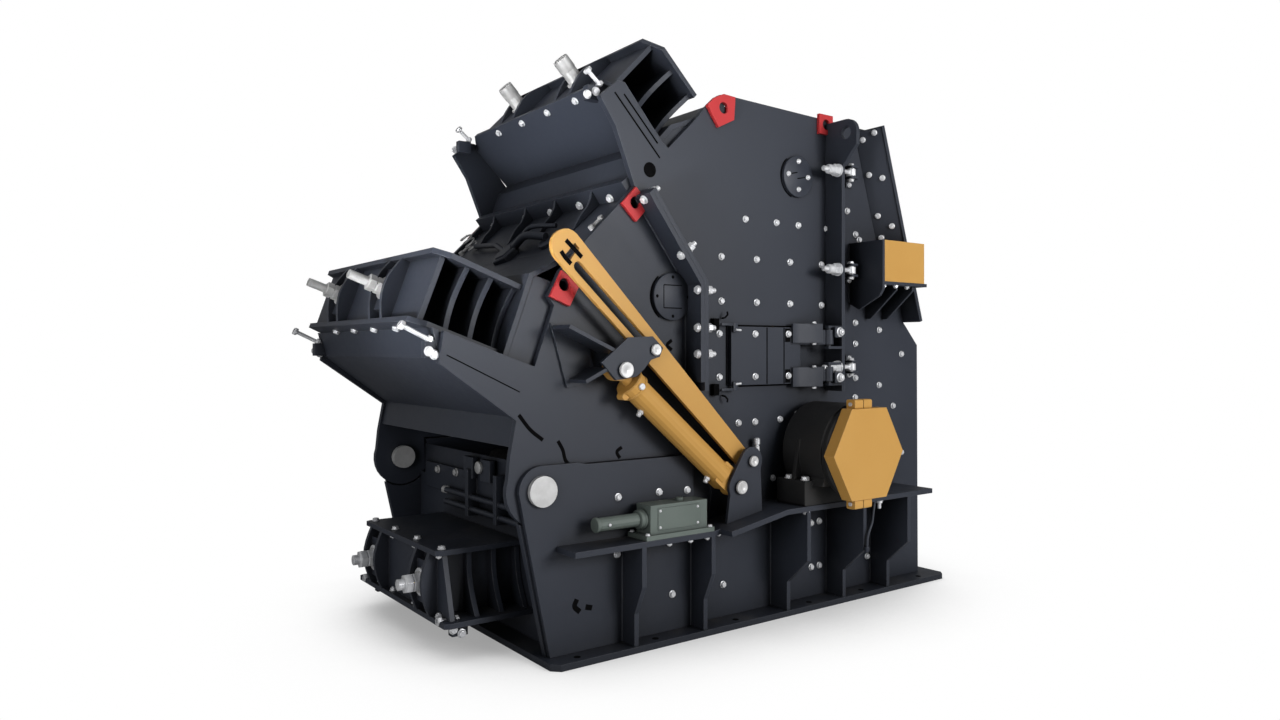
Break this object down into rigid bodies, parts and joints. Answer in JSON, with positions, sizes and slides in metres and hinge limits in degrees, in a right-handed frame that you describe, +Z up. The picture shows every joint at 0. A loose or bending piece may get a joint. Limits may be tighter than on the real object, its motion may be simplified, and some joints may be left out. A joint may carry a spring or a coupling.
{
  "type": "horizontal-shaft impact crusher",
  "caption": "Fixed impact crusher for rock, with a hinged rear housing lifted by hydraulic cylinders, screw-adjusted aprons, a slanted feed inlet and an open discharge base",
  "frame": {"origin": "middle of the machine's length and width, on the ground", "axes": "+X towards the feed inlet, +Y across the machine along the rotor, +Z up"},
  "size_m": [2.8558, 2.0506, 2.4264],
  "materials": {
    "dark_paint": "satin blue-black paint on steel plate",
    "black_paint": "black paint on cast bearing housings",
    "yellow_paint": "satin orange-yellow paint",
    "green_paint": "grey-green paint on the hand pump",
    "red_paint": "red paint on lifting lugs, which only the visual model has",
    "pin_steel": "bright turned steel",
    "grey_steel": "grey machined steel",
    "wear_steel": "bare dark wear casting"
  },
  "bodies": {
    "frame": {"base_frame": "dark_paint", "bearing_cover_far": "yellow_paint", "bearing_cover_near": "yellow_paint", "bearing_housing_far": "black_paint", "bearing_housing_near": "black_paint", "bearing_shelf_far": "dark_paint", "bearing_shelf_near": "dark_paint", "clamp_flange_far": "dark_paint", "clamp_flange_near": "dark_paint", "fixed_seam_flange_far": "dark_paint", "fixed_seam_flange_near": "dark_paint", "foot_bracket_far": "dark_paint", "foot_bracket_near": "dark_paint", "front_wall": "dark_paint", "guard_bracket": "dark_paint", "guard_cover": "yellow_paint", "hand_pump": "green_paint", "inlet_flange": "dark_paint", "lower_adjuster_box": "dark_paint", "lower_apron": "wear_steel", "lower_cheek_far": "dark_paint", "lower_cheek_near": "dark_paint", "lower_spindle_far": "grey_steel", "lower_spindle_near": "grey_steel", "rear_wall": "dark_paint", "roof": "dark_paint", "rotor": "wear_steel", "rotor_shaft": "grey_steel", "side_wall_far": "dark_paint", "side_wall_near": "dark_paint", "upper_adjuster_box": "dark_paint", "upper_apron": "wear_steel", "upper_spindle_far": "grey_steel", "upper_spindle_near": "grey_steel"},
    "rear_housing": {"middle_adjuster_box": "dark_paint", "middle_apron": "wear_steel", "middle_spindle_far": "grey_steel", "middle_spindle_near": "grey_steel", "pivot_pin_far": "pin_steel", "pivot_pin_near": "pin_steel", "rear_cheek_far": "dark_paint", "rear_cheek_near": "dark_paint", "rear_floor": "dark_paint", "rear_roof": "dark_paint", "rear_seam_flange_far": "dark_paint", "rear_seam_flange_near": "dark_paint", "rod_bracket_far": "dark_paint", "rod_bracket_near": "dark_paint"},
    "cylinder_barrels": {"cylinder_barrel_far": "yellow_paint", "cylinder_barrel_near": "yellow_paint"},
    "piston_rods": {"piston_rod_far": "yellow_paint", "piston_rod_near": "yellow_paint"},
    "stays": {"stay_far": "yellow_paint", "stay_near": "yellow_paint"},
    "door_near": {"door_near": "dark_paint"},
    "door_far": {"door_far": "dark_paint"}
  },
  "joints": [
    {"name": "rear_housing_hinge", "type": "hinge", "parent": "frame", "child": "rear_housing", "pos_m": [-0.864, 0, 0.638], "axis": [0, -1, 0], "range_deg": [0, 40]},
    {"name": "cylinder_swing", "type": "hinge", "parent": "frame", "child": "cylinder_barrels", "pos_m": [0.005, 0, 0.589], "axis": [0, -1, 0], "range_deg": [0, 9]},
    {"name": "rod_slide", "type": "slide", "parent": "cylinder_barrels", "child": "piston_rods", "axis": [-0.7636, 0, 0.6456], "range_m": [0, 0.34]},
    {"name": "stay_swing", "type": "hinge", "parent": "frame", "child": "stays", "pos_m": [0.072, 0, 0.691], "axis": [0, -1, 0], "range_deg": [0, 9.5]},
    {"name": "door_hinge_near", "type": "hinge", "parent": "frame", "child": "door_near", "pos_m": [0.585, -0.755, 1.125], "axis": [0, 0, 1], "range_deg": [0, 100]},
    {"name": "door_hinge_far", "type": "hinge", "parent": "frame", "child": "door_far", "pos_m": [0.585, 0.755, 1.125], "axis": [0, 0, -1], "range_deg": [0, 100]}
  ],
  "couplings": [
    {"joint": "cylinder_swing", "follows": "rear_housing_hinge", "ratio": 0.2125},
    {"joint": "rod_slide", "follows": "rear_housing_hinge", "m_per_rad": 0.48},
    {"joint": "stay_swing", "follows": "rear_housing_hinge", "ratio": 0.2225}
  ]
}
